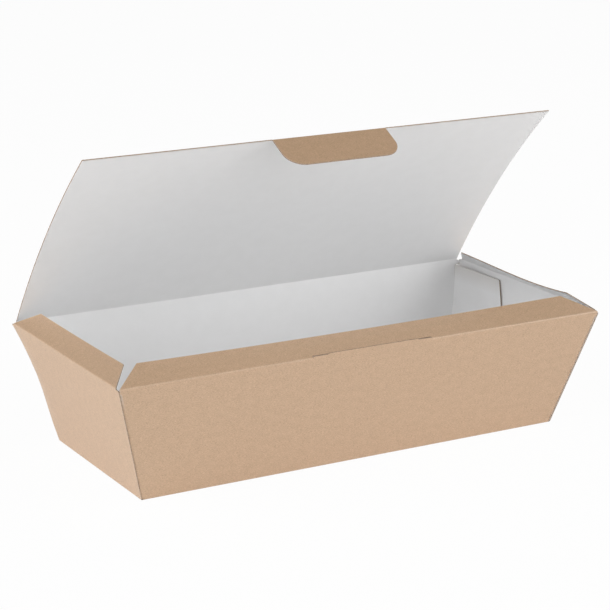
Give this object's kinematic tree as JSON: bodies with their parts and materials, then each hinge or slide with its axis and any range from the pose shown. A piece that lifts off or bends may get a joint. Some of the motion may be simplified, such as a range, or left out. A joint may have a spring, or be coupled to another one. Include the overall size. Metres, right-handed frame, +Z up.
{
  "type": "takeaway food box",
  "caption": "Long folded board food box with flared walls, mitred rim flaps and a rear-hinged lid whose tab tucks into a slit in the front crease.",
  "frame": {"origin": "centre of the tray's base, on its underside", "axes": "+X along the box to its right end, +Y to the back where the lid is hinged, +Z up"},
  "size_m": [0.2504, 0.1199, 0.1474],
  "materials": {
    "kraft_board": "matt brown kraft outside with a white inner lining"
  },
  "bodies": {
    "tray": {"tray": "kraft_board"},
    "front_flap": {"front_flap": "kraft_board"},
    "left_flap": {"left_flap": "kraft_board"},
    "right_flap": {"right_flap": "kraft_board"},
    "lid": {"lid": "kraft_board"},
    "tuck_tab": {"tuck_tab": "kraft_board"}
  },
  "joints": [
    {"name": "lid_hinge", "type": "hinge", "parent": "tray", "child": "lid", "pos_m": [0, 0.0595, 0.057], "axis": [-1, 0, 0], "range_deg": [-49, 90]},
    {"name": "front_flap_fold", "type": "hinge", "parent": "tray", "child": "front_flap", "pos_m": [0, -0.0595, 0.057], "axis": [1, 0, 0], "range_deg": [-31, 57]},
    {"name": "left_flap_fold", "type": "hinge", "parent": "tray", "child": "left_flap", "pos_m": [-0.125, 0, 0.057], "axis": [0, -1, 0], "range_deg": [-36, 66]},
    {"name": "right_flap_fold", "type": "hinge", "parent": "tray", "child": "right_flap", "pos_m": [0.125, 0, 0.057], "axis": [0, 1, 0], "range_deg": [-41, 75]},
    {"name": "tuck_tab_fold", "type": "hinge", "parent": "lid", "child": "tuck_tab", "pos_m": [0, -0.01753, 0.14719], "axis": [-1, 0, 0], "range_deg": [-29, 53]}
  ],
  "couplings": [
    {"joint": "front_flap_fold", "follows": "lid_hinge", "ratio": 0.62},
    {"joint": "left_flap_fold", "follows": "lid_hinge", "ratio": 0.73},
    {"joint": "right_flap_fold", "follows": "lid_hinge", "ratio": 0.83},
    {"joint": "tuck_tab_fold", "follows": "lid_hinge", "ratio": 0.58}
  ]
}
